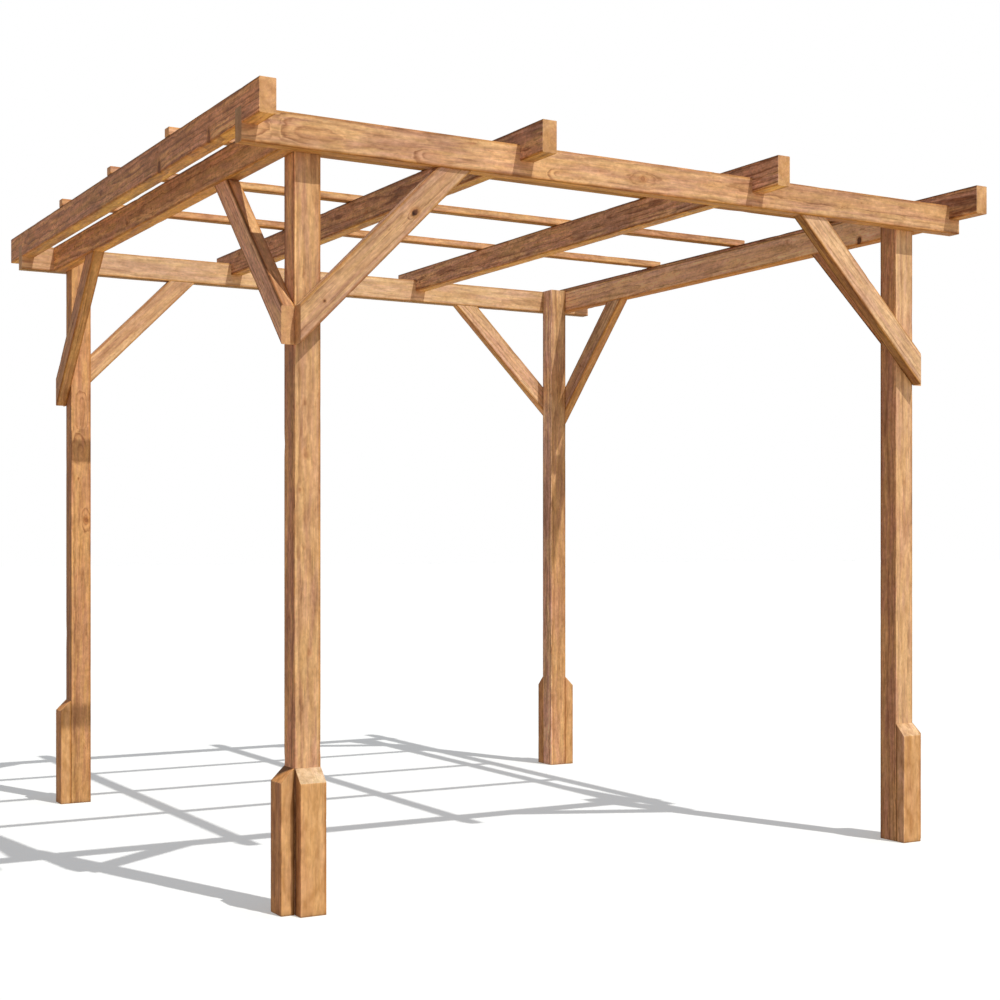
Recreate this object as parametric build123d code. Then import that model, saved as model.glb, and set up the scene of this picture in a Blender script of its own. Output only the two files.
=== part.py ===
from build123d import *
import os

# Wooden garden pergola: an open frame of planed softwood on four posts.
# Lengths are millimetres. X runs along the plates, Y along the rafters, Z up from the ground,
# and the origin is on the ground at the middle of the plan.

# Plan and height
plate_length = 3000.0  # front and rear plates, and the battens, left to right
rafter_length = 3070.0  # rafters, front to back
plate_overhang = 197.0  # plate end past the outer side of a post
rafter_overhang = 146.0  # rafter end past the outer side of a plate
clear_height = 2390.0  # ground to the underside of the plates and side beams

# Timber sections
post_side = 88.0
plate_thickness = 55.0  # plates and side beams, which ring the posts at one level
plate_depth = 108.0
rafter_thickness = 55.0
rafter_depth = 108.0
brace_thickness = 46.0
brace_depth = 87.0
foot_thickness = 46.0
batten_width = 45.0
batten_height = 30.0
arris = 3.0  # flat of the eased long edges of every timber

# Joints
notch_depth = 54.0  # rafter notch over a plate
brace_leg = 605.0  # post and plate length from the corner that a brace spans
foot_height = 460.0  # foot board at the post, at the top of its bevel
mitre = 45.0  # degrees, braces
bevel_fall = (0, -1, 1)  # outward slope of a foot board's top
cut_overrun = 20.0  # how far a cutting body runs past the timber

rafter_count = 4
batten_count = 3

# Places worked out from the sizes above
plate_outer = rafter_length / 2 - rafter_overhang
plate_line = plate_outer - plate_thickness / 2
post_outer_x = plate_length / 2 - plate_overhang
post_outer_y = plate_outer - plate_thickness
post_x = post_outer_x - post_side / 2
post_y = post_outer_y - post_side / 2
plate_top = clear_height + plate_depth
plate_level = clear_height + plate_depth / 2
rafter_level = plate_top - notch_depth + rafter_depth / 2
batten_level = rafter_level + (rafter_depth + batten_height) / 2
rafter_pitch = (plate_length - rafter_thickness) / (rafter_count - 1)
batten_pitch = 2 * plate_line / (batten_count + 1)


def timber(length, width, depth):
    # A sawn length along X, its section eased at the four long edges.
    section = chamfer(Rectangle(width, depth).vertices(), arris)
    return extrude(Plane.YZ * section, amount=length / 2, both=True)


def post():
    # Upright on the ground, its top level with the tops of the plates.
    return Pos(Z=plate_top / 2) * Rot(Y=90) * timber(plate_top, post_side, post_side)


def rafter():
    # Notched from below where it crosses each plate, so that it drops over both.
    bar = Rot(Z=90) * timber(rafter_length, rafter_thickness, rafter_depth)
    seat = Box(rafter_thickness + cut_overrun, plate_thickness, notch_depth + cut_overrun)
    seat_level = (notch_depth - cut_overrun - rafter_depth) / 2
    for side in (-1, 1):
        bar -= Pos(Y=side * plate_line, Z=seat_level) * seat
    return bar


def brace():
    # The lower edge is the diagonal of a square between post and plate. The square trims the ends:
    # level under the plate, upright at the outer side of the post.
    square = Pos(brace_leg / 2, 0, -brace_leg / 2)
    bar = Pos(Z=brace_depth / 2) * timber(2 * brace_leg, brace_thickness, brace_depth)
    corner = Box(brace_leg, brace_thickness + cut_overrun, brace_leg)
    return (square * Rot(Y=-mitre) * bar) & (square * corner)


def foot_board():
    # A board as wide as the post, flat against it, with its top bevelled to shed water.
    board = Rot(Y=90) * timber(foot_height, foot_thickness, post_side)
    standing = Pos(0, -foot_thickness / 2, foot_height / 2) * board
    bevel = Plane(origin=(0, 0, foot_height), z_dir=bevel_fall)
    return split(standing, bisect_by=bevel, keep=Keep.BOTTOM)


nodes = {}
sides = {"left": -1, "right": 1}
ends = {"front": -1, "rear": 1}

# Posts, with two braces and two foot boards on the outer sides of each
for side, sx in sides.items():
    for end, sy in ends.items():
        nodes[f"post_{end}_{side}"] = Pos(sx * post_x, sy * post_y) * post()

        brace_y = sy * (post_outer_y + brace_thickness / 2)
        along_plate = Pos(sx * post_outer_x, brace_y, clear_height) * Rot(Z=90 + 90 * sx)
        nodes[f"brace_{end}_{side}"] = along_plate * brace()

        brace_x = sx * (post_outer_x + brace_thickness / 2)
        along_beam = Pos(brace_x, sy * post_outer_y, clear_height) * Rot(Z=-90 * sy)
        nodes[f"brace_{side}_{end}"] = along_beam * brace()

        against_end = Pos(sx * post_x, sy * post_outer_y) * Rot(Z=90 + 90 * sy)
        nodes[f"foot_board_{end}_{side}"] = against_end * foot_board()

        against_side = Pos(sx * post_outer_x, sy * post_y) * Rot(Z=90 * sx)
        nodes[f"foot_board_{side}_{end}"] = against_side * foot_board()

# Plates on the front and rear sides of the posts
for end, sy in ends.items():
    plate = timber(plate_length, plate_thickness, plate_depth)
    nodes[f"plate_{end}"] = Pos(0, sy * plate_line, plate_level) * plate

# Side beams on the left and right sides of the posts, butted between the plates
for side, sx in sides.items():
    beam = Rot(Z=90) * timber(2 * post_outer_y, plate_thickness, plate_depth)
    beam_x = sx * (post_outer_x + plate_thickness / 2)
    nodes[f"side_beam_{side}"] = Pos(beam_x, 0, plate_level) * beam

# Rafters from left to right, the outer two flush with the plate ends
for number in range(rafter_count):
    rafter_x = (number - (rafter_count - 1) / 2) * rafter_pitch
    nodes[f"rafter_{number + 1}"] = Pos(rafter_x, 0, rafter_level) * rafter()

# Battens from front to rear across the tops of the rafters
for number in range(batten_count):
    batten_y = (number - (batten_count - 1) / 2) * batten_pitch
    batten = timber(plate_length, batten_width, batten_height)
    nodes[f"batten_{number + 1}"] = Pos(0, batten_y, batten_level) * batten

os.makedirs("parts", exist_ok=True)
for name, shape in nodes.items():
    export_step(shape, f"parts/{name}.step")
print(len(nodes), "nodes")
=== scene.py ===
import math
import bpy
import numpy as np
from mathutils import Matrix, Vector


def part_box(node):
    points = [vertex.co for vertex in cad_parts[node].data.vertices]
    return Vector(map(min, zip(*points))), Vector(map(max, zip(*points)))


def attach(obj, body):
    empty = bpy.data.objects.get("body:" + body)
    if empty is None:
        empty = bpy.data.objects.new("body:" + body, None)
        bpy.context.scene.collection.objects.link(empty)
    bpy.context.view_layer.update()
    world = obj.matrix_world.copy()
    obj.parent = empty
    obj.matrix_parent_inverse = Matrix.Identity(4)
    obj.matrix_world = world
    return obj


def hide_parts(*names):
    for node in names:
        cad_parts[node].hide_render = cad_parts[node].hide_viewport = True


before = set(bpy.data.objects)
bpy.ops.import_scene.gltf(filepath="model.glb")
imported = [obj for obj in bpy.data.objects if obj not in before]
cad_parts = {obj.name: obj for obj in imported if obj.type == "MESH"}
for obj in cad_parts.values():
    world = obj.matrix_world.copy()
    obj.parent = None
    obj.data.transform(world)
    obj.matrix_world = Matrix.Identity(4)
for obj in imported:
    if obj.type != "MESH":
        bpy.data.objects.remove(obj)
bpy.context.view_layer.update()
scene = bpy.context.scene
mm = 0.001  # metres
print("frame loaded:", len(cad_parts), "timbers")


def linear(hexColour):
    # sRGB hex to linear: a power of 2.4 with a short straight foot near black
    srgb = np.array([int(hexColour[start:start + 2], 16) for start in (1, 3, 5)]) / 255
    rgb = np.where(srgb <= 0.04045, srgb / 12.92, ((srgb + 0.055) / 1.055) ** 2.4)
    return (*rgb.tolist(), 1.0)


def addNode(tree, kind, inputs=(), out=0, **settings):
    # One shader node with its settings; inputs are values or other nodes' outputs, in order
    # or by number or name. Returns one output.
    made = tree.nodes.new("ShaderNode" + kind)
    for key, value in settings.items():
        setattr(made, key, value)
    for key, value in inputs.items() if isinstance(inputs, dict) else enumerate(inputs):
        if isinstance(value, bpy.types.NodeSocket):
            tree.links.new(value, made.inputs[key])
        else:
            made.inputs[key].default_value = value
    return made.outputs[out] if made.outputs else made


smooth = {"interpolation_type": "SMOOTHSTEP"}  # for a range that eases in and out
inColour = {"out": 2, "data_type": "RGBA"}  # for a mix of colours

# Camera: level, so that upright posts stay parallel; the shift frames the picture
cameraSetup = {
    "place": (-3.306, -6.151, 1.1635),  # metres
    "turn": -30.573,  # degrees about Z, from looking along +Y
    "focalPixels": 1650.3,  # focal length in pixels of a picture 1000 wide
    "centrePixel": (526.6, 543.6),  # where the optical axis meets the picture
    "pictureWidth": 1000,
    "sensorWidth": 36.0,
}


def makeCamera(setup):
    data = bpy.data.cameras.new("camera")
    width = setup["pictureWidth"]
    data.sensor_width = setup["sensorWidth"]
    data.lens = setup["sensorWidth"] * setup["focalPixels"] / width
    data.shift_x = 0.5 - setup["centrePixel"][0] / width
    data.shift_y = setup["centrePixel"][1] / width - 0.5
    made = bpy.data.objects.new("camera", data)
    scene.collection.objects.link(made)
    made.location = setup["place"]
    made.rotation_euler = (math.pi / 2, 0, math.radians(setup["turn"]))
    scene.camera = made


makeCamera(cameraSetup)
print("camera placed")

# Light: a clear sun from the front right, and a soft studio round the wood that is bright on that side,
# dim on the left and overhead, and golden from below
lightSetup = {
    "towardsSun": (0.196, -0.572, 1.0),
    "sunStrength": 2.85,
    "sunSpread": 0.5,  # degrees
    "dim": "#A194A6",
    "brightSide": (0.6, -0.8, 0.0),
    "bright": "#E2E6FC",
    "brightRange": (-0.2, 0.9),  # where it sets in and where it is full; 1 is straight towards that side
    "overhead": "#3C3C48",
    "overheadRange": (0.25, 0.9),  # the same for heights; 1 is straight up
    "below": "#E2C376",
    "belowRange": (-0.1, -0.7),
    "floorSize": 160.0,  # metres
    "floorColour": "#DEDEDA",
    "floorLift": "#979B97",  # keeps the shadow on the floor pale
}


def seenDirectly(tree):
    # 1 for what the camera sees straight on, in a mirror or through glass, 0 for light that falls on wood
    path = addNode(tree, "LightPath").node.outputs
    seen = path["Is Camera Ray"]
    for kind in ("Is Glossy Ray", "Is Transmission Ray"):
        seen = addNode(tree, "Math", (seen, path[kind]), operation="MAXIMUM")
    return seen


def makeLight(setup):
    sun = bpy.data.lights.new("sun", "SUN")
    sun.energy = setup["sunStrength"]
    sun.angle = math.radians(setup["sunSpread"])
    made = bpy.data.objects.new("sun", sun)
    scene.collection.objects.link(made)
    x, y, z = setup["towardsSun"]
    # tilted from shining straight down, then turned
    made.rotation_euler = (math.atan2(math.hypot(x, y), z), 0, math.atan2(x, -y))

    world = bpy.data.worlds.new("studio")
    scene.world = world
    world.use_nodes = True
    tree = world.node_tree
    tree.nodes.clear()
    where = addNode(tree, "TexCoord", out="Generated")
    height = addNode(tree, "SeparateXYZ", (where,), out="Z")
    facing = addNode(tree, "VectorMath", (where, setup["brightSide"]), out="Value", operation="DOT_PRODUCT")
    sky = linear(setup["dim"])
    for part, measure in (("bright", facing), ("overhead", height), ("below", height)):
        share = addNode(tree, "MapRange", (measure, *setup[part + "Range"]), **smooth)
        sky = addNode(tree, "Mix", {0: share, 6: sky, 7: linear(setup[part])}, **inColour)
    soft = addNode(tree, "Background", (sky, 1.0))
    white = addNode(tree, "Background", ((1, 1, 1, 1), 1.0))
    mixed = addNode(tree, "MixShader", (seenDirectly(tree), soft, white))
    addNode(tree, "OutputWorld", (mixed,))


def makeFloor(setup):
    half = setup["floorSize"] / 2
    corners = [(-half, -half, 0), (half, -half, 0), (half, half, 0), (-half, half, 0)]
    mesh = bpy.data.meshes.new("floor")
    mesh.from_pydata(corners, [], [(0, 1, 2, 3)])
    floor = bpy.data.objects.new("floor", mesh)
    scene.collection.objects.link(floor)
    material = bpy.data.materials.new("pale matt floor")
    material.use_nodes = True
    tree = material.node_tree
    tree.nodes.clear()
    matt = addNode(tree, "BsdfDiffuse", (linear(setup["floorColour"]),))
    lift = addNode(tree, "Emission", (linear(setup["floorLift"]), 1.0))
    pale = addNode(tree, "AddShader", (matt, lift))
    addNode(tree, "OutputMaterial", (pale,))
    floor.visible_diffuse = False  # the studio's own glow from below lights the wood
    mesh.materials.append(material)


makeLight(lightSetup)
makeFloor(lightSetup)
print("sun, sky and floor made")

# Pressure-treated pine, planed: pale early wood with darker late wood at the end of each year's ring.
# Sawn lengthways the rings show as arches and long lines, at the ends as arcs; knots push the rings aside.
# The stain takes unevenly, so golden and rosy streaks run with the grain.
woodLook = {
    "goldenWood": "#E4B77E",
    "rosyWood": "#D09E7B",
    "lateWood": "#92603E",
    "lateChange": 0.68,  # how far late wood takes its own colour
    "heartWood": "#C6905E",
    "heartChange": 0.35,
    "heartRadius": 48.0,  # mm from the pith to where heartwood gives way to sapwood
    "heartEdge": 6.0,  # mm either way
    "smudge": "#A56D45",
    "smudgeChange": 0.5,
    "smudgeSize": (46.0, 15.0),  # mm along and across the grain, as all pairs of sizes; resin and handling
    "knotHalo": "#B0753F",
    "knotSoft": "#96603F",
    "knotDark": "#32190F",
    "edgeStain": "#E4D0AE",  # rubbed edges hold more stain
    "paintedEdgeHighlight": 1.16,  # painted highlight: how much lighter the upright edges towards the front left are
    "paintedEdgeShade": 0.38,  # painted shade: and how much darker the edges towards the back left and the upper left
    "ringWidth": 11.0,  # mm; real rings are 3 to 5, drawn wider so that they show
    "ringUneven": 0.9,  # how far a ring may drift from its even place, in rings
    "slowBend": (10.0, 600.0, 120.0),  # mm that the rings wander, over mm along and across the grain
    "waver": (3.0, 65.0, 18.0),  # the same for neighbouring fibres
    "wisp": 0.5,  # how far streaks wave
    "zoneSize": (300.0, 45.0),  # mm, golden and rosy zones
    "streakSize": (170.0, 13.0),  # mm, streaks within them
    "zoneNoise": (0.78, 1.26),  # both noises added: all golden, all rosy
    "fadeSize": (110.0, 11.0),  # mm, where a ring's dark line fades and returns
    "fibreSize": (90.0, 0.9),  # mm; real fibres are far finer
    "fibreChange": 0.07,
    "bundles": ((120.0, 6.0, 0.08), (110.0, 28.0, 0.09), (380.0, 80.0, 0.11)),  # mm along, mm across, change
    "dashSize": (60.0, 4.5),  # mm, short dark dashes
    "dashChange": 0.2,
    "dashPatch": (160.0, 30.0),  # mm, where they crowd
    "fleckSize": (16.0, 10.0),  # mm, raised fibre and pores that took more stain
    "fleckChange": (0.11, 0.033),  # with the strength of the grain, and in any case
    "cloudSize": (75.0, 28.0),  # mm, thick and thin stain on any grain
    "stainChange": (0.10, 0.13, 0.18),  # red, green and blue taken away where it is thick
    "checkSize": (150.0, 2.2),  # mm, hairline cracks from drying
    "checkDark": 0.65,  # lightness left in a crack
    "paintedShadeDark": 0.3,  # lightness left under painted shade
    "grainRelief": 0.35,  # mm that late wood stands proud
    "reliefShare": 0.45,  # how much of that relief the light catches
    "roughness": (0.72, 0.58),  # early and late wood
    "shine": 0.15,
}

# How the noise and the rings are drawn: ranges of the noise's own values, or of a year from 0 to 1
ringShape = {
    "noise": (0.3, 0.7),
    "wideNoise": (0.2, 0.8),
    "crowdNoise": (0.35, 0.65),
    "smudgeNoise": (0.62, 0.76),  # only the peaks
    "checkNoise": (0.80, 0.74),
    "fadeNoise": (0.3, 0.65),
    "fade": (0.3, 1.15),  # strength of a ring's line between these
    "driftScale": 0.3,  # changes of width per ring
    "rise": (0.18, 0.84),  # over which the wood darkens
    "stop": (1.0, 0.85),  # and over which the dark ends
    "yearStrength": (0.25, 1.0),  # weakest and strongest years
    "endStrength": 0.5,  # on sawn ends
}

# How a knot is drawn: lengths are shares of its swirl, or of its core where that is said.
# Four numbers are a range and the results at its two ends.
knotShape = {
    "taper": (0.0, 1.3, 0.02, 1.3),  # from the pith at 0 past the face at 1: width of the branch
    "oval": 0.42,  # width to length of the rings round a branch
    "loopSize": (70.0, 26.0),  # mm, how a loop strays from an even oval
    "loopStray": (0.25, 0.75, 0.82, 1.18),
    "bulge": 0.5,  # how far the rings bulge round a branch
    "bulgeFall": -0.8,  # power at which the bulge dies away
    "nests": 2.0,  # crescents inside one another where the trunk grew over a branch
    "nestTailed": 0.9,  # crescents stronger than this trail off along the tail, others close at both ends
    "nestLegs": (0.9, 0.1),  # along the tail, where the legs have faded and where they start to
    "nestRise": (0.12, 0.75),  # within one crescent, over which it darkens
    "nestStop": (1.0, 0.76),  # and over which the dark ends
    "nestFade": (0.3, 1.0, 0.8, 1.3),  # a faded ring's line leaves a weaker crescent
    "nestRim": (1.06, 0.99),
    "nestTip": (-0.1, -1.4, 0.35, 1.0),  # stronger towards the closed tip
    "paleRise": (0.05, 0.5),  # pale just inside the dark
    "paleStop": (0.75, 0.55),
    "paleChange": 1.16,
    "raggedSize": (24.0, 14.0),  # mm
    "ragged": (0.0, 1.0, -0.45, 0.45),  # how far the core's rim strays, in cores
    "halo": (2.3, 1.1),  # rim and full strength, in cores
    "haloStrength": (0.0, 1.0, 0.3, 0.65),  # from a pale knot to a dark one
    "core": (1.25, 0.7),  # rim and full strength, in cores
    "coreStrength": (0.0, 1.0, 0.3, 1.0),  # from a pale knot to a dark one
    "coreDeep": (-0.3, 0.5, 1.0, 0.55),  # less dark along the tail
}


def makeWood(look, rings, knots):
    material = bpy.data.materials.new("treated pine planed")
    material.use_nodes = True
    tree = material.node_tree
    tree.nodes.clear()
    grain, knot, tone = (addNode(tree, "Attribute", out="Vector", attribute_name=name)
                         for name in ("grain", "knot", "tone"))
    knotSize, knotCore, knotDark, knotNest, mottle, figure, paintedShade, edgeWearAndPaintedLight, sawn = (
        addNode(tree, "Attribute", out="Fac", attribute_name=name)
        for name in ("knotSize", "knotCore", "knotDark", "knotNest",
                     "mottle", "figure", "paintedShade", "arris", "sawn"))

    def alongGrain(size, detail):
        # noise drawn out along the grain, for features of a length and a width in mm
        length, width = size
        scale = (1 / (length * mm), 1 / (width * mm), 1 / (width * mm))
        drawn = addNode(tree, "Mapping", {"Vector": grain, "Scale": scale})
        return addNode(tree, "TexNoise",
                       {"Vector": drawn, "Scale": 1.0, "Detail": detail, "Distortion": look["wisp"]})

    # ring radius: distance from the pith, bent by two sizes of noise
    apart = addNode(tree, "SeparateXYZ", (grain,)).node.outputs
    flat = addNode(tree, "CombineXYZ", (0.0, apart["Y"], apart["Z"]))
    radius = addNode(tree, "VectorMath", (flat,), out="Value", operation="LENGTH")
    for far, *size in (look["slowBend"], look["waver"]):
        bend = alongGrain(size, detail=2.0)
        bend = addNode(tree, "MapRange", (bend, *rings["wideNoise"], -far * mm, far * mm), clamp=False)
        radius = addNode(tree, "Math", (radius, bend), operation="ADD")

    # knots: a branch widens from the pith to the face, and the rings bulge out round it,
    # further along the grain than across it
    along, beside, outward = addNode(tree, "SeparateXYZ", (knot,)).node.outputs
    taper = addNode(tree, "MapRange", (outward, *knots["taper"]))
    swirl = addNode(tree, "Math", (taper, knotSize), operation="MULTIPLY")
    tailReach = addNode(tree, "Math", (along, swirl), operation="DIVIDE")
    tipReach = addNode(tree, "Math", (tailReach,), operation="ABSOLUTE")
    tipReach = addNode(tree, "Math", (tipReach, -1.0), operation="MULTIPLY")
    tailed = addNode(tree, "Math", (knotNest, knots["nestTailed"]), operation="GREATER_THAN")
    tailReach = addNode(tree, "Mix", {0: tailed, 2: tipReach, 3: tailReach})
    legs = addNode(tree, "MapRange", (tailReach, *knots["nestLegs"]), **smooth)
    shorter = addNode(tree, "Math", (along, knots["oval"]), operation="MULTIPLY")
    oval = addNode(tree, "CombineXYZ", (shorter, beside))
    reach = addNode(tree, "VectorMath", (oval,), out="Value", operation="LENGTH")
    reach = addNode(tree, "Math", (reach, swirl), operation="DIVIDE")
    stray = addNode(tree, "MapRange", (alongGrain(knots["loopSize"], detail=3.0), *knots["loopStray"]))
    reach = addNode(tree, "Math", (reach, stray), operation="MULTIPLY")
    fall = addNode(tree, "Math", (reach, reach), operation="MULTIPLY")
    fall = addNode(tree, "Math", (fall, knots["bulgeFall"]), operation="MULTIPLY")
    push = addNode(tree, "Math", (fall,), operation="EXPONENT")
    for part in (swirl, knots["bulge"], legs):
        push = addNode(tree, "Math", (push, part), operation="MULTIPLY")
    radius = addNode(tree, "Math", (radius, push), operation="SUBTRACT")

    # rings: early wood darkens slowly into late wood, then stops short; years differ in width and strength
    even = addNode(tree, "Math", (radius, look["ringWidth"] * mm), operation="DIVIDE")
    drift = addNode(tree, "TexNoise", {"W": even, "Scale": rings["driftScale"], "Detail": 1.0},
                    noise_dimensions="1D")
    drift = addNode(tree, "MapRange", (drift, *rings["wideNoise"], -look["ringUneven"], look["ringUneven"]))
    phase = addNode(tree, "Math", (even, drift), operation="ADD")
    year = addNode(tree, "Math", (phase,), operation="FLOOR")
    inYear = addNode(tree, "Math", (phase,), operation="FRACT")
    strength = addNode(tree, "TexWhiteNoise", {"W": year}, noise_dimensions="1D")
    strength = addNode(tree, "MapRange", (strength, 0.0, 1.0, *rings["yearStrength"]))
    stop = addNode(tree, "MapRange", (inYear, *rings["stop"]), **smooth)
    fade = alongGrain(look["fadeSize"], detail=2.0)
    fade = addNode(tree, "MapRange", (fade, *rings["fadeNoise"], *rings["fade"]))
    endFade = addNode(tree, "MapRange", (sawn, 0.0, 1.0, 1.0, rings["endStrength"]))
    ringLines = addNode(tree, "MapRange", (inYear, *rings["rise"]), **smooth)
    for part in (stop, strength, fade, endFade):
        ringLines = addNode(tree, "Math", (ringLines, part), operation="MULTIPLY")

    # nested crescents: dark at the closed tip, pale just inside, fading down the legs
    nest = addNode(tree, "Math", (reach, knots["nests"]), operation="MULTIPLY")
    inNest = addNode(tree, "Math", (nest,), operation="FRACT")
    nestRise, nestStop, paleRise, paleStop = (
        addNode(tree, "MapRange", (inNest, *knots[part]), **smooth)
        for part in ("nestRise", "nestStop", "paleRise", "paleStop"))
    nestFade = addNode(tree, "MapRange", (fade, *knots["nestFade"]))
    within = addNode(tree, "MapRange", (reach, *knots["nestRim"]), **smooth)
    tip = addNode(tree, "MapRange", (tailReach, *knots["nestTip"]), **smooth)
    nestDark = nestRise
    for part in (nestStop, nestFade):
        nestDark = addNode(tree, "Math", (nestDark, part), operation="MULTIPLY")
    nestShare = knotNest
    for part in (within, tip, legs):
        nestShare = addNode(tree, "Math", (nestShare, part), operation="MULTIPLY")
    nestPale = nestShare
    for part in (paleRise, paleStop):
        nestPale = addNode(tree, "Math", (nestPale, part), operation="MULTIPLY")
    late = addNode(tree, "Mix", {0: nestShare, 2: ringLines, 3: nestDark})

    # golden and rosy zones and streaks, redder heartwood near the pith, late wood's lines, smudges
    zone, streak = (alongGrain(look[size], detail=3.0) for size in ("zoneSize", "streakSize"))
    zone = addNode(tree, "Math", (zone, streak), operation="ADD")
    zone = addNode(tree, "MapRange", (zone, *look["zoneNoise"]), **smooth)
    zone = addNode(tree, "Math", (zone, figure), operation="MULTIPLY", use_clamp=True)
    outer, inner = ((look["heartRadius"] + side * look["heartEdge"]) * mm for side in (1, -1))
    heart = addNode(tree, "MapRange", (radius, outer, inner, 0.0, look["heartChange"]), **smooth)
    lateShare = addNode(tree, "Math", (late, figure), operation="MULTIPLY")
    lateShare = addNode(tree, "Math", (lateShare, look["lateChange"]), operation="MULTIPLY", use_clamp=True)
    smudge = alongGrain(look["smudgeSize"], detail=2.0)
    smudge = addNode(tree, "MapRange", (smudge, *rings["smudgeNoise"], 0.0, look["smudgeChange"]), **smooth)
    smudge = addNode(tree, "Math", (smudge, figure), operation="MULTIPLY", use_clamp=True)

    # amber halo of a knot round a ragged core, soft brown or nearly black
    flat = addNode(tree, "CombineXYZ", (along, beside))
    coreReach = addNode(tree, "VectorMath", (flat,), out="Value", operation="LENGTH")
    bore = addNode(tree, "Math", (swirl, knotCore), operation="MULTIPLY")
    coreReach = addNode(tree, "Math", (coreReach, bore), operation="DIVIDE")
    ragged = addNode(tree, "MapRange", (alongGrain(knots["raggedSize"], detail=2.0), *knots["ragged"]))
    coreReach = addNode(tree, "Math", (coreReach, ragged), operation="ADD")
    haloStrength = addNode(tree, "MapRange", (knotDark, *knots["haloStrength"]))
    halo = addNode(tree, "MapRange", (coreReach, *knots["halo"], 0.0, haloStrength), **smooth)
    coreStrength = addNode(tree, "MapRange", (knotDark, *knots["coreStrength"]))
    core = addNode(tree, "MapRange", (coreReach, *knots["core"], 0.0, coreStrength), **smooth)
    deep = addNode(tree, "MapRange", (tailReach, *knots["coreDeep"]))
    deep = addNode(tree, "Math", (deep, knotDark), operation="MULTIPLY")
    knotSoft, knotBlack = linear(look["knotSoft"]), linear(look["knotDark"])
    coreColour = addNode(tree, "Mix", {0: deep, 6: knotSoft, 7: knotBlack}, **inColour)

    # colour: all of these, each laid over the ones before
    colour = linear(look["goldenWood"])
    for share, name in ((zone, "rosyWood"), (heart, "heartWood"), (lateShare, "lateWood"),
                        (smudge, "smudge"), (halo, "knotHalo")):
        colour = addNode(tree, "Mix", {0: share, 6: colour, 7: linear(look[name])}, **inColour)
    colour = addNode(tree, "Mix", {0: core, 6: colour, 7: coreColour}, **inColour)

    # stain: darker and redder where it is thick
    cloud = addNode(tree, "MapRange", (alongGrain(look["cloudSize"], detail=2.0), *rings["noise"], 1.0, -1.0))
    cloud = addNode(tree, "Math", (cloud, mottle), operation="MULTIPLY")
    stain = addNode(tree, "VectorMath", (cloud, look["stainChange"], (1, 1, 1)), operation="MULTIPLY_ADD")
    colour = addNode(tree, "VectorMath", (colour, stain), operation="MULTIPLY")

    # lightness: flecks, fibres single and bundled, dashes where they crowd, each 1 plus or less a change
    fibre = alongGrain(look["fibreSize"], detail=3.0)
    fleckChange = addNode(tree, "Math", (figure, *look["fleckChange"]), operation="MULTIPLY_ADD")
    shades = [(alongGrain(look["fleckSize"], detail=2.0), fleckChange)]
    bundled = [(alongGrain(size, detail=3.0), change) for *size, change in look["bundles"]]
    for noise, change in [(fibre, look["fibreChange"])] + bundled:
        shades.append((noise, addNode(tree, "Math", (figure, change), operation="MULTIPLY")))
    crowd = alongGrain(look["dashPatch"], detail=2.0)
    crowd = addNode(tree, "MapRange", (crowd, *rings["crowdNoise"], 0.0, look["dashChange"]))
    crowd = addNode(tree, "Math", (crowd, figure), operation="MULTIPLY")
    shades.append((alongGrain(look["dashSize"], detail=3.0), crowd))
    # painted shade from inside corners, the ground and sloped ends darkens the wood first
    lightness = addNode(tree, "MapRange", (paintedShade, 0.0, 1.0, 1.0, look["paintedShadeDark"]))
    for noise, change in shades:
        shade = addNode(tree, "MapRange", (noise, *rings["noise"], -1.0, 1.0))
        shade = addNode(tree, "Math", (shade, change, 1.0), operation="MULTIPLY_ADD")
        lightness = addNode(tree, "Math", (lightness, shade), operation="MULTIPLY")
    pale = addNode(tree, "MapRange", (nestPale, 0.0, 1.0, 1.0, knots["paleChange"]))
    check = alongGrain(look["checkSize"], detail=0.0)
    check = addNode(tree, "MapRange", (check, *rings["checkNoise"], look["checkDark"], 1.0), **smooth)
    for part in (pale, check):
        lightness = addNode(tree, "Math", (lightness, part), operation="MULTIPLY")
    colour = addNode(tree, "VectorMath", {0: colour, "Scale": lightness}, operation="SCALE")
    colour = addNode(tree, "VectorMath", (colour, tone), operation="MULTIPLY")

    # edges: the layer is 1 at a plain edge, -1 at one with a painted highlight and 2 at one with painted
    # shade
    edgeStain = linear(look["edgeStain"])
    colour = addNode(tree, "Mix", {0: edgeWearAndPaintedLight, 6: colour, 7: edgeStain}, blend_type="MULTIPLY", **inColour)
    paintedEdgeHighlight = addNode(tree, "MapRange", (edgeWearAndPaintedLight, 0.0, -1.0, 1.0, look["paintedEdgeHighlight"]))
    paintedEdgeShade = addNode(tree, "MapRange", (edgeWearAndPaintedLight, 1.0, 2.0, 1.0, look["paintedEdgeShade"]))
    for part in (paintedEdgeHighlight, paintedEdgeShade):
        colour = addNode(tree, "VectorMath", {0: colour, "Scale": part}, operation="SCALE")

    lines = addNode(tree, "Math", (ringLines, fibre), operation="ADD")
    relief = addNode(tree, "Bump", {"Height": lines, "Distance": look["grainRelief"] * mm,
                                    "Strength": look["reliefShare"]})
    rough = addNode(tree, "MapRange", (late, 0.0, 1.0, *look["roughness"]))
    shader = addNode(tree, "BsdfPrincipled", {"Base Color": colour, "Roughness": rough, "Normal": relief,
                                              "Specular IOR Level": look["shine"]})
    addNode(tree, "OutputMaterial", (shader,))
    return material


wood = makeWood(woodLook, ringShape, knotShape)
print("wood made")

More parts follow.
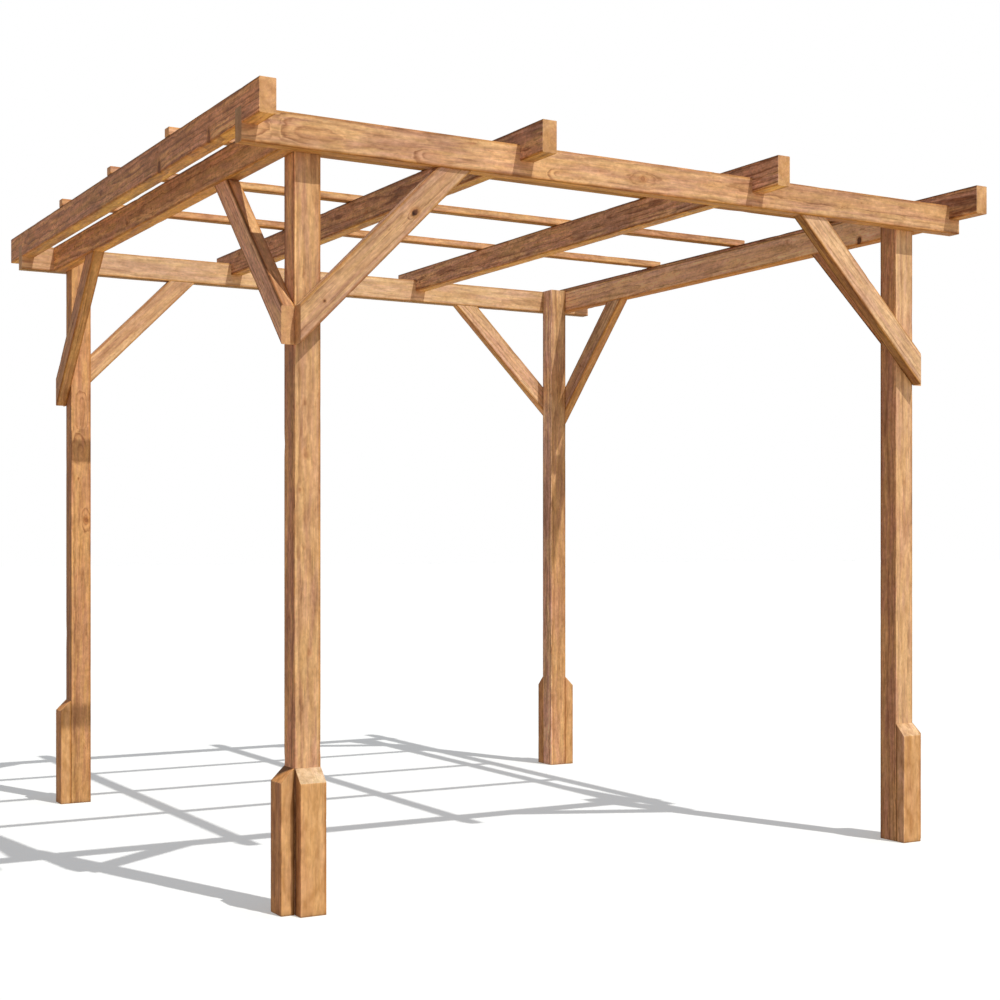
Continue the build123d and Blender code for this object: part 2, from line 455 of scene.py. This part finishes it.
# How the timbers are machined
planedEdge = {
    "round": 0.003,  # metres, radius of the eased long edges
    "steps": 3,  # flats in a quarter round
    "fade": 0.007,  # metres from an edge that rubbing reaches
    "endRound": 0.0012,  # metres, sawn ends rubbed off
    "endSteps": 2,
    "chips": 2.2,  # knocks per metre of edge
    "chipDepth": (0.0004, 0.0016),  # metres
    "chipRarity": 4,  # power of chance; shallow knocks are far commoner than deep
    "chipReach": (0.010, 0.045),  # metres along the edge
    "acrossStep": 0.022,  # metres between points across a face
    "alongStep": 0.018,  # metres between points along the timber
    "highlightFacing": 1.9,  # how squarely an edge faces the front left to get a painted highlight; 2 is fully
    "shadeFacing": 1.6,  # and the back left or the upper left to get painted shade
    "sharpAngle": 40,  # degrees between faces above which an edge shades as a crease
}

# Painted shade in upright inside corners and along the ground
shadePainting = {
    "cornerReach": 0.008,  # metres
    "floorReach": 0.006,
    "floorShare": 0.65,  # how dark the painted shade along the ground is, beside that in the corner
}

# Small knots by chance
chanceKnots = {
    "fromEnd": 0.05,  # metres
    "aside": 0.3,  # share of the narrower face, either way from its middle
    "core": (0.002, 0.006),  # metres
    "apart": 0.16,  # metres from every other knot
    "swirl": (2, 0.004),  # cores, and metres more
    "darkness": (0.1, 0.8),
}

# What a timber has unless its style or its own entry says otherwise
plainTimber = {
    "mottle": 1.0,  # thick and thin stain
    "figure": 1.0,  # strength of the grain
    "sawnFigure": 0.5,  # the same on sawn ends
    "faceFigure": {},  # face: times stronger
    "tone": 1.0,  # lighter above 1
    "warmth": 0.0,  # golden above 0, pale below
    "sawnTone": 1.0,  # times the tone, on sawn ends
    "sawnWarmth": 0.0,  # instead of the warmth there
    "faceColourAndLight": {},  # face: (times lighter, warmer); partly the face's own colour, partly painted light and shade by the way it faces
    # (times lighter, warmer) at the low end, the middle and the high end
    "toneAlong": [(1, 0), (1, 0), (1, 0)],
    "paintedEndShadow": 0.0,  # painted shadow on a sloped end, towards the back and the post
    # (face, metres along, metres across, core mm, swirl mm, darkness 0 to 1, tail, nested crescents 0 to 1);
    # a tail is how many times longer the swirl is towards the high end, or below 0 towards the low end
    "knots": [],
    "knocks": [],  # (the two faces of an edge, metres along, depth mm, reach mm)
}
warmStain = (0.0, 0.2, 0.5)  # red, green and blue that a warmth of 1 takes away
trunkLength = 40  # metres of grain; each timber starts somewhere along it, by chance
faceDirections = {"front": (0, -1, 0), "rear": (0, 1, 0), "left": (-1, 0, 0), "right": (1, 0, 0),
                  "top": (0, 0, 1), "under": (0, 0, -1)}
facingLimit = 0.7  # cosine above which a face counts as front, left and so on; at 45 degrees it still does
quarterSigns = np.array([(1, 1), (-1, 1), (-1, -1), (1, -1)])  # the four edges of a section, anticlockwise
sideDirections = np.array([(1, 0), (-1, 0), (0, 1), (0, -1)])  # its four sides


def sectionLoop(width, depth, levels):
    # Rectangle with quarter-round corners, run anticlockwise: at each corner an arc, then a straight run
    # whose points are even between two that stand off the arcs, plus any asked-for levels on the sides.
    # Returns points, normals, and the number of the edge for points on an arc, 0 elsewhere.
    radius, fade = planedEdge["round"], planedEdge["fade"]
    turn = np.linspace(0, math.pi / 2, planedEdge["steps"] + 1)
    corners = quarterSigns * (width / 2 - radius, depth / 2 - radius)
    points, normals, edge = [], [], []
    for corner in range(4):
        angle = turn + corner * math.pi / 2
        normal = np.stack([np.cos(angle), np.sin(angle)], 1)
        points.append(corners[corner] + radius * normal)
        normals.append(normal)
        edge.append(np.full(len(angle), corner + 1))
        start = points[-1][-1]
        ahead = corners[(corner + 1) % 4] + radius * normal[-1] - start
        length = np.hypot(*ahead)
        count = max(2, int(round((length - 2 * fade) / planedEdge["acrossStep"])) + 1)
        share = np.linspace(fade, length - fade, count) / length
        if corner % 2:  # an upright side
            extra = (np.array(levels, float) - start[1]) / ahead[1]
            share = np.unique(np.round(np.concatenate([share, extra]), 9))
        points.append(start + share[:, None] * ahead)
        normals.append(np.repeat(normal[-1:], len(share), 0))
        edge.append(np.zeros(len(share)))
    return np.concatenate(points), np.concatenate(normals), np.concatenate(edge)


def stationsAlong(length, breaks):
    # Places along a timber and how far the section is inset there: a quarter round at each end,
    # even steps between, and any asked-for breaks.
    radius, fade = planedEdge["endRound"], planedEdge["fade"]
    turn = np.linspace(0, math.pi / 2, planedEdge["endSteps"] + 1)
    place = radius * (1 - np.cos(turn))
    inset = radius * (1 - np.sin(turn))
    count = max(2, int(length / planedEdge["alongStep"]))
    middle = np.linspace(radius, length - radius, count)[1:-1]
    middle = np.unique(np.concatenate([middle, (fade, length - fade), np.array(breaks, float)]))
    places = np.concatenate([place, middle, length - place[::-1]])
    insets = np.concatenate([inset, np.zeros(len(middle)), inset[::-1]])
    return places, insets


def chippedEdges(chance, look, place, edge, length, across):
    # Dents along each of the four edges, by chance and as given, each a bell curve in depth
    knock = np.zeros((len(place), len(edge)))
    shallow, deep = planedEdge["chipDepth"]
    count = int(round(planedEdge["chips"] * length))
    for quarter, signs in enumerate(quarterSigns):
        middle = chance.uniform(0, length, count)
        depths = shallow + (deep - shallow) * chance.random(count) ** planedEdge["chipRarity"]
        reaches = chance.uniform(*planedEdge["chipReach"], count)
        for faces, spot, hollow, reach in look["knocks"]:
            outward = sum(across @ faceDirections[face] for face in faces)
            if np.allclose(outward, signs):
                middle = np.append(middle, spot)
                depths = np.append(depths, hollow * mm)
                reaches = np.append(reaches, reach * mm)
        dent = (depths * np.exp(-((place[:, None] - middle) / reaches) ** 2)).max(1)
        knock += dent[:, None] * (edge == quarter + 1)
    return knock


def timberFaces(place, loop, notches, level):
    # The carried skin, two end caps, and for each notch two walls and a roof in place of what is cut away.
    # Returns the faces, the row of the skin that each lies in, and which are end caps.
    rows, columns = len(place), len(loop)
    row, column = np.meshgrid(np.arange(rows - 1), np.arange(columns), indexing="ij")
    beside = (column + 1) % columns
    skin = np.stack([row * columns + column, row * columns + beside,
                     (row + 1) * columns + beside, (row + 1) * columns + column], -1)
    keep = np.ones((rows - 1, columns), bool)
    cutFaces, cutRows = [], []
    hair = 1e-6  # metres, for rounding
    lower = np.nonzero(loop[:, 1] <= level + hair)[0]  # from one side, going round underneath, to the other
    for first, last in notches:
        start, stop = (int(np.argmin(abs(place - end))) for end in (first, last))
        keep[start:stop, lower[:-1]] = False
        cutFaces.append((start * columns + lower).tolist())
        cutFaces.append((stop * columns + lower[::-1]).tolist())
        cutRows += [start - 1, stop]
        roofRows = np.arange(start, stop)
        roof = np.stack([roofRows * columns + lower[0], roofRows * columns + lower[-1],
                         (roofRows + 1) * columns + lower[-1], (roofRows + 1) * columns + lower[0]], -1)
        cutFaces += roof.tolist()
        cutRows += roofRows.tolist()
    caps = [list(range(columns))[::-1], list(range((rows - 1) * columns, rows * columns))]
    faces = skin[keep].tolist() + caps + cutFaces
    faceRow = np.concatenate([row[keep], [0, rows - 2], cutRows]).astype(int)
    isEnd = np.zeros(len(faces), bool)
    isEnd[keep.sum():keep.sum() + 2] = True
    return faces, faceRow, isEnd


def listKnots(chance, look, size, across):
    # The knots given, then small ones by chance, with lengths in metres and directions across the section
    length = size[0]
    knots = []
    for face, spot, aside, core, swirl, dark, tail, nest in look["knots"]:
        knots.append((across @ faceDirections[face], spot, aside, core * mm, swirl * mm, dark, tail, nest))
    times, more = chanceKnots["swirl"]
    for _ in range(int(round(length / look["knotEvery"]))):
        outward = sideDirections[chance.integers(4)]
        spot = chance.uniform(chanceKnots["fromEnd"], length - chanceKnots["fromEnd"])
        aside = chance.uniform(-chanceKnots["aside"], chanceKnots["aside"]) * min(size[1:])
        core = chance.uniform(*chanceKnots["core"])
        if all(abs(spot - other[1]) > chanceKnots["apart"] for other in knots):
            dark = chance.uniform(*chanceKnots["darkness"])
            knots.append((outward, spot, aside, core, core * times + more, dark, 1.0, 0.0))
    return knots


def knotLayers(knots, pith, drift, size, rowMiddle, cornerRow, spots):
    # Each stretch of timber belongs to its nearest knot, a branch from the pith out to a face, and holds
    # (along, beside, outward) from that branch, with outward 0 at the pith and 1 at the face.
    farOff = 9.0  # metres
    meeting = 0.02  # metres over which a swirl shrinks where two stretches meet
    least = 0.02  # share of it that is left there
    count = len(spots)
    if not knots:
        # a knot so far off that its size doesn't show
        return {"knot": np.full((count, 3), farOff), "knotSize": np.full(count, 0.01),
                "knotCore": np.full(count, 0.5), "knotDark": np.zeros(count), "knotNest": np.zeros(count)}
    outs, centres, asides, cores, swirls, darks, tails, nests = (np.array(part) for part in zip(*knots))
    onFace = np.where(abs(outs) > 0.5, outs * size[1:] / 2, asides[:, None])
    roots = pith + drift * (centres[:, None] - size[0] / 2)
    spans = np.linalg.norm(onFace - roots, axis=1)
    heads = (onFace - roots) / spans[:, None]
    nearest = np.argmin(abs(rowMiddle[:, None] - centres), 1)[cornerRow]
    flat = spots[:, 1:] - roots[nearest]
    head, tail = heads[nearest], tails[nearest]
    gaps = np.append(abs(spots[:, :1] - centres), np.full((count, 1), farOff), 1)
    gaps = np.sort(gaps, 1)
    room = np.clip((gaps[:, 1] - gaps[:, 0]) / meeting, least, 1)
    away = spots[:, 0] - centres[nearest]
    away = np.where(away * tail > 0, away / tail, -abs(away))  # above 0 along a tail
    beside = flat[:, 0] * head[:, 1] - flat[:, 1] * head[:, 0]
    outward = (flat * head).sum(1) / spans[nearest]
    return {"knot": np.stack([away, beside, outward], 1), "knotSize": swirls[nearest] * room,
            "knotCore": (cores / swirls)[nearest], "knotDark": darks[nearest], "knotNest": nests[nearest]}


def stainColour(lighter, warmer):
    return lighter[:, None] * (1 - np.outer(warmer, warmStain))


def toneLayer(chance, look, facing, isEnd, sizes, share):
    # Lighter or darker, and golden or pale: for the timber, single faces (partly their own colour, partly
    # painted light and shade by the way they face) and sawn ends, then along the sides
    spread = 1 + look["toneSpread"] * chance.uniform(-1, 1)
    lighter = np.full(len(facing), look["tone"] * spread)
    warmer = np.full(len(facing), look["warmth"])
    for face, (times, more) in look["faceColourAndLight"].items():
        onFace = facing @ faceDirections[face] > facingLimit
        lighter = lighter * np.where(onFace, times, 1.0)
        warmer = warmer + np.where(onFace, more, 0.0)
    lighter = np.where(isEnd, lighter * look["sawnTone"], lighter)
    warmer = np.where(isEnd, look["sawnWarmth"], warmer)
    lighterAlong, warmerAlong = (np.interp(share, (0, 0.5, 1), part) for part in zip(*look["toneAlong"]))
    along = stainColour(lighterAlong, warmerAlong)
    along[np.repeat(isEnd, sizes)] = 1.0
    return np.repeat(stainColour(lighter, warmer), sizes, 0) * along


def timberPiece(node, along, up, style, lowCut=0.0, highCut=0.0, notches=(), notchLevel=0.0,
                shadedCorner=None):
    # A section carried along a straight path between the CAD piece's own ends. lowCut and highCut slope
    # the ends: metres of setback per metre up the section. Notches are cut out from below.
    # The corner given is the (x, y) of an upright inside corner, darkened with painted shade.
    chance = np.random.default_rng(sum(ord(letter) * (n + 1) for n, letter in enumerate(node)))
    look = {**plainTimber, **style, **style["own"].get(node, {})}
    axes = np.array([along, np.cross(up, along), up], float)
    axes /= np.linalg.norm(axes, axis=1)[:, None]
    across = axes[1:]
    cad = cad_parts[node].data
    points = np.zeros(len(cad.vertices) * 3)
    cad.vertices.foreach_get("co", points)
    local = points.reshape(-1, 3) @ axes.T
    low, high = local.min(0), local.max(0)
    size = high - low
    length, width, depth = size
    origin = np.append(low[0], (low[1:] + high[1:]) / 2)  # middle of the section at the low end

    # points: the section sinks at chips and rubbed ends, and slides along the timber at sloped ends
    spans = [(first - origin[0], last - origin[0]) for first, last in notches]
    level = notchLevel - origin[2]
    loop, normal, edge = sectionLoop(width, depth, [level] if notches else [])
    place, inset = stationsAlong(length, [end for span in spans for end in span])
    knock = chippedEdges(chance, look, place, edge, length, across)
    sunk = inset[:, None] + np.where(inset[:, None] > 0, 0, knock)
    v = loop[:, 0] - sunk * normal[:, 0]
    w = loop[:, 1] - sunk * normal[:, 1]
    climb = w + depth / 2
    share = (place / length)[:, None]
    u = place[:, None] + (1 - share) * lowCut * climb - share * highCut * climb
    spots = np.stack([u, v, w], -1).reshape(-1, 3)

    # mesh: only the points in use, and the point at each corner of each face
    faces, faceRow, isEnd = timberFaces(place, loop, spans, level)
    sizes = np.array([len(face) for face in faces])
    used, corner = np.unique(np.concatenate(faces), return_inverse=True)
    spots = spots[used]
    world = (spots + origin) @ axes
    mesh = bpy.data.meshes.new("timber_" + node)
    mesh.from_pydata(world.tolist(), [], [face.tolist() for face in np.split(corner, np.cumsum(sizes)[:-1])])
    atCorner = spots[corner]
    endCorner = np.repeat(isEnd, sizes)

    # grain: along the timber, and both ways from the pith, whose line drifts across the timber
    pith = np.array(look["pith"]) + chance.uniform(-1, 1, 2) * look["pithSpread"]
    drift = np.array(look["drift"]) * chance.choice([-1, 1], 2)
    pithLine = pith + drift * (spots[:, :1] - length / 2)
    grain = np.column_stack([spots[:, 0] + chance.uniform(0, trunkLength), spots[:, 1:] - pithLine])
    knots = listKnots(chance, look, size, across)
    rowMiddle = (place[:-1] + place[1:]) / 2
    knotParts = knotLayers(knots, pith, drift, size, rowMiddle, np.repeat(faceRow, sizes), atCorner)

    # tone, and strength of the grain
    facing = np.zeros(len(faces) * 3)
    mesh.polygons.foreach_get("normal", facing)
    facing = facing.reshape(-1, 3)
    tone = toneLayer(chance, look, facing, isEnd, sizes, atCorner[:, 0] / length)
    figure = np.full(len(faces), look["figure"])
    for face, stronger in look["faceFigure"].items():
        figure = figure * np.where(facing @ faceDirections[face] > facingLimit, stronger, 1.0)
    figure = np.where(isEnd, look["sawnFigure"], figure)

    # edges: 1 on the arcs, -1 towards the front left for a painted highlight, 2 towards the back left and the
    # upper left for painted shade, 0 elsewhere
    quarters = quarterSigns @ across
    edgeKind = np.where(quarters @ (-1, -1, 0) > planedEdge["highlightFacing"], -1, 1)
    darker = np.maximum(quarters @ (-1, 1, 0), quarters @ (-1, 0, 1)) > planedEdge["shadeFacing"]
    edgeKind = np.append(0, np.where(darker, 2, edgeKind))
    arris = np.tile(edgeKind[edge.astype(int)], len(place))[used]

    # painted shade: bell curves from the ground and the inside corner; on a sloped end a painted shadow grows
    # evenly from the diagonal to the corner at the back by the post
    paintedShade = shadePainting["floorShare"] * np.exp(-(world[:, 2] / shadePainting["floorReach"]) ** 2)
    if shadedCorner is not None:
        apart = np.linalg.norm(world[:, :2] - shadedCorner, axis=1)
        reach = look.get("cornerReach", shadePainting["cornerReach"])
        paintedShade = np.maximum(paintedShade, np.exp(-(apart / reach) ** 2))
    paintedEndShadow = look["paintedEndShadow"] * (atCorner[:, 1] / width - atCorner[:, 2] / depth)

    layers = {"grain": grain, "arris": np.where(endCorner, 0, arris[corner]),
              "paintedShade": np.where(endCorner, paintedEndShadow, paintedShade[corner]), "sawn": endCorner, "tone": tone,
              "figure": np.repeat(figure, sizes), **knotParts, "mottle": np.full(len(corner), look["mottle"])}
    for name, values in layers.items():
        kind, field = ("FLOAT", "value") if values.ndim == 1 else ("FLOAT_VECTOR", "vector")
        layer = mesh.attributes.new(name, kind, "POINT" if name == "grain" else "CORNER")
        layer.data.foreach_set(field, values.astype(np.float32).ravel())
    mesh.polygons.foreach_set("use_smooth", ~isEnd)
    mesh.set_sharp_from_angle(angle=math.radians(planedEdge["sharpAngle"]))
    mesh.materials.append(wood)
    piece = bpy.data.objects.new("timber_" + node, mesh)
    scene.collection.objects.link(piece)
    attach(piece, "root")
    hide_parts(node)


sideSigns = {"left": -1, "right": 1}
endSigns = {"front": -1, "rear": 1}

# Posts
postStyle = {
    "slot": "posts",
    "pith": (0.012, 0.022),  # metres from the middle of the section
    "pithSpread": 0.015,
    "drift": (0.006, 0.010),  # metres that the pith wanders across, per metre of length
    "toneSpread": 0.02,
    "warmth": 0.1,
    "figure": 0.9,
    "faceFigure": {"left": 1.5, "right": 1.5},
    "knotEvery": 1.4,  # metres between chance knots
    "own": {
        "post_front_left": {
            "tone": 0.93,
            "faceColourAndLight": {"left": (1.18, 0.1)},
            "knots": [
                ("front", 0.814, 0.005, 5, 9, 0.05, 3, 0),
                ("front", 1.440, -0.005, 7, 13, 0.08, 2, 0),
                ("front", 1.337, -0.027, 3, 7, 0.15, -3, 0),
                ("front", 1.600, -0.010, 4, 8, 0.1, 4, 0),
                ("left", 0.932, 0.004, 4, 11, 0.5, 1, 0),
            ],
            "knocks": [
                (("front", "left"), 1.226, 4.5, 60),
                (("front", "left"), 1.33, 2.5, 25),
                (("front", "left"), 0.62, 3, 40),
                (("front", "left"), 1.72, 2.5, 50),
            ],
        },
        "post_front_right": {
            "tone": 1.02,
            "warmth": 0.0,
            "figure": 0.75,
            "toneAlong": [(1, -0.1), (0.98, 0.05), (1.06, -0.3)],
            "faceColourAndLight": {"left": (0.98, 0.1)},
        },
        "post_rear_left": {
            "tone": 0.94,
            "warmth": 0.5,
            "toneAlong": [(0.8, 0.1), (0.97, 0), (1.12, -0.2)],
            "faceColourAndLight": {"left": (0.82, 0)},
            "knots": [
                ("front", 1.269, 0.022, 10, 24, 0.35, 1, 0.8),
                ("front", 1.457, -0.012, 3, 7, 0.3, -2, 0),
                ("front", 1.580, -0.002, 0.5, 33, 0, -4, 1),
                ("front", 1.790, 0.004, 0.5, 28, 0, -4, 0.8),
            ],
        },
        "post_rear_right": {
            "tone": 0.90,
            "warmth": 0.5,
            "toneAlong": [(1.2, -0.3), (0.88, -0.1), (1.05, -0.8)],
            "faceColourAndLight": {"left": (1.52, -1.0)},
        },
    },
}
for end in endSigns:
    for side in sideSigns:
        timberPiece(f"post_{end}_{side}", (0, 0, 1), (0, 1, 0), postStyle)
print("posts made")

# Plates and side beams
beamStyle = {
    "slot": "beams",
    "mottle": 1.1,
    "pith": (0.012, 0.0),
    "pithSpread": 0.012,
    "drift": (0.010, 0.012),
    "toneSpread": 0.02,
    "sawnTone": 0.75,
    "sawnWarmth": -0.3,
    "faceFigure": {"left": 1.3, "right": 1.3},
    "knotEvery": 3.5,
    "own": {
        "plate_front": {
            "figure": 0.92,
            "sawnTone": 0.73,
            "knots": [
                ("front", 0.0, -0.003, 0.5, 42, 0, -4, 1),
                ("front", 0.218, -0.004, 0.5, 42, 0, 6, 1),
                ("front", 0.645, -0.026, 0.5, 27, 0, 6, 1),
                ("front", 1.135, -0.027, 0.5, 21, 0, 5, 1),
                ("front", 1.480, -0.005, 9, 24, 0.3, 1, 0.5),
                ("front", 2.391, -0.010, 2, 10, 0.4, 1, 0),
            ],
        },
        # its underside darker: painted shade
        "plate_rear": {"tone": 1.06, "warmth": -0.5, "figure": 0.7, "faceColourAndLight": {"under": (0.55, 0.2)}},
        "side_beam_left": {
            "pith": (-0.016, 0.0),
            "tone": 1.17,
            "warmth": -0.4,
            "figure": 1.1,
            "toneAlong": [(1, -0.2), (1, 0), (1.04, 0.25)],
            "faceColourAndLight": {"under": (0.88, 0.45)},
            "knots": [
                ("left", 0.614, 0.014, 3, 12, 0.4, 1, 0),
                ("left", 1.266, -0.017, 5, 16, 0.5, 1, 0),
                ("left", 1.570, -0.018, 8, 15, 0.7, 1, 0),
                ("left", 2.325, 0.004, 4, 9, 0.7, 1, 0),
            ],
        },
        "side_beam_right": {
            "pith": (-0.016, 0.0),
            "warmth": -0.7,
            "figure": 0.7,
            "toneAlong": [(1, 0), (1, 0), (0.98, -0.1)],
            "faceColourAndLight": {"left": (1.47, -0.36), "under": (0.93, 1.5)},
            "knots": [
                ("left", 0.307, -0.038, 12, 18, 0.9, 1, 0),
                ("left", 0.762, 0.027, 5, 14, 0.2, 2, 0.5),
            ],
        },
    },
}
for end in endSigns:
    timberPiece(f"plate_{end}", (1, 0, 0), (0, 0, 1), beamStyle)
for side in sideSigns:
    timberPiece(f"side_beam_{side}", (0, 1, 0), (0, 0, 1), beamStyle)
print("plates and side beams made")

# Rafters, notched over the plates
rafterStyle = {
    "slot": "rafters",
    "mottle": 1.2,
    "pith": (-0.016, 0.0),
    "pithSpread": 0.015,
    "drift": (0.010, 0.012),
    "toneSpread": 0.03,
    "warmth": -0.35,
    "sawnTone": 0.94,
    "sawnWarmth": 0.25,
    "figure": 1.2,
    "faceFigure": {"left": 1.45, "right": 1.45},
    "knotEvery": 2.0,
    "own": {
        "rafter_1": {
            "tone": 1.13,
            "warmth": 0.0,
            "sawnTone": 0.9,
            "pith": (-0.002, 0.014),
            "pithSpread": 0.0,
            "toneAlong": [(1.24, 0.15), (0.93, -0.05), (1.06, 0.15)],
            "faceColourAndLight": {"under": (0.95, -0.45)},
            "knots": [
                ("left", 0.435, -0.034, 12, 20, 0.62, 1, 0),
                ("left", 0.937, -0.032, 13, 20, 0.65, 1, 0),
                ("left", 0.615, -0.042, 3, 7, 0.5, 1, 0),
                ("left", 2.308, -0.003, 5, 14, 0.3, 1, 0.5),
            ],
        },
        "rafter_2": {"tone": 0.96, "knots": [("left", 2.766, 0.028, 8, 14, 0.7, 1, 0)]},
        "rafter_3": {"tone": 1.19, "warmth": -0.5, "sawnTone": 0.78},
    },
}
plateSpans = [(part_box(f"plate_{end}")[0].y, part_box(f"plate_{end}")[1].y) for end in endSigns]
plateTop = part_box("plate_front")[1].z
for name in sorted(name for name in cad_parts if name.startswith("rafter_")):
    timberPiece(name, (0, 1, 0), (0, 0, 1), rafterStyle, notches=plateSpans, notchLevel=plateTop)
print("rafters made")

# Battens
battenStyle = {
    "slot": "battens",
    "tone": 1.12,
    "pith": (0.02, 0.02),
    "pithSpread": 0.01,
    "drift": (0.008, 0.008),
    "toneSpread": 0.04,
    "knotEvery": 4.0,
    "own": {
        # undersides darker: painted shade
        "batten_1": {"tone": 1.2, "warmth": -0.3, "faceColourAndLight": {"under": (0.6, 0.3)}},
        "batten_2": {"faceColourAndLight": {"under": (0.6, 0)}},
        "batten_3": {"faceColourAndLight": {"under": (0.6, 0)}},
    },
}
for name in sorted(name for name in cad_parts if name.startswith("batten_")):
    timberPiece(name, (1, 0, 0), (0, 0, 1), battenStyle)
print("battens made")

# Braces, both ends cut on the mitre
braceStyle = {
    "slot": "braces",
    "pith": (0.010, 0.008),
    "pithSpread": 0.012,
    "drift": (0.010, 0.012),
    "toneSpread": 0.03,
    "warmth": 0.2,
    "faceFigure": {"left": 1.3, "right": 1.3},
    "knotEvery": 1.6,
    "mitre": 1.0,  # metres of setback per metre up the section
    "own": {
        "brace_front_left": {
            "tone": 0.96,
            "warmth": -0.25,
            "faceColourAndLight": {"under": (0.6, 0.2)},
            "knots": [
                ("front", 0.593, -0.007, 10, 12, 1, 1.6, 1),
                ("front", 0.155, -0.003, 4, 10, 0.7, 1, 0),
            ],
        },
        "brace_front_right": {"tone": 1.17, "warmth": -0.6, "faceColourAndLight": {"under": (0.55, 0.6)}},
        "brace_rear_left": {"tone": 1.1, "warmth": -0.35, "figure": 0.8},
        "brace_rear_right": {"tone": 1.15, "warmth": -0.6},
        "brace_left_front": {"faceColourAndLight": {"left": (1.42, -0.92)}},
        "brace_left_rear": {"warmth": -0.1},
        "brace_right_rear": {"faceColourAndLight": {"left": (0.97, -1.2)}},
    },
}
mitred = {"lowCut": braceStyle["mitre"], "highCut": braceStyle["mitre"]}
for end, toEnd in endSigns.items():
    for side, toSide in sideSigns.items():
        timberPiece(f"brace_{end}_{side}", (-toSide, 0, 1), (toSide, 0, 1), braceStyle, **mitred)
        timberPiece(f"brace_{side}_{end}", (0, -toEnd, 1), (0, toEnd, 1), braceStyle, **mitred)
print("braces made")

# Foot boards, tops bevelled outwards
footStyle = {
    "slot": "foot_boards",
    "mottle": 2.0,
    "tone": 0.91,
    "pith": (0.01, -0.03),
    "pithSpread": 0.012,
    "drift": (0.008, 0.012),
    "toneSpread": 0.03,
    "warmth": 0.42,
    # paler sawn ends: on the bevels, a painted highlight in place of the sun's glint
    "sawnTone": 1.06,
    "sawnWarmth": -0.8,
    "figure": 0.4,
    "faceFigure": {"left": 2.0, "right": 2.0},
    "knotEvery": 1.0,
    "bevel": 1.0,  # metres of fall per metre outwards
    "own": {
        "foot_board_front_left": {
            "cornerReach": 0.014,
            "knocks": [
                (("front", "left"), 0.225, 4.5, 22),
                (("front", "left"), 0.29, 3, 18),
                (("front", "left"), 0.10, 2.5, 30),
            ],
        },
        "foot_board_front_right": {"sawnWarmth": -0.3, "faceColourAndLight": {"left": (1.25, -0.9)}},
        "foot_board_left_front": {
            "sawnTone": 1.2,
            "sawnWarmth": 0.8,
            "cornerReach": 0.005,
            # the post's shadow on this bevel, painted darker
            "paintedEndShadow": 3.0,
            "knocks": [
                (("front", "left"), 0.2, 3.5, 25),
                (("front", "left"), 0.33, 2.5, 20),
            ],
        },
        "foot_board_left_rear": {"sawnTone": 1.2, "sawnWarmth": 0.8},
    },
}
for end, toEnd in endSigns.items():
    for side, toSide in sideSigns.items():
        postLow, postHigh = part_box(f"post_{end}_{side}")
        outerCorner = (postHigh.x if toSide > 0 else postLow.x, postHigh.y if toEnd > 0 else postLow.y)
        bevelled = {"highCut": footStyle["bevel"], "shadedCorner": outerCorner}
        timberPiece(f"foot_board_{end}_{side}", (0, 0, 1), (0, toEnd, 0), footStyle, **bevelled)
        timberPiece(f"foot_board_{side}_{end}", (0, 0, 1), (toSide, 0, 0), footStyle, **bevelled)
print("foot boards made")

scene.view_settings.view_transform = "Standard"
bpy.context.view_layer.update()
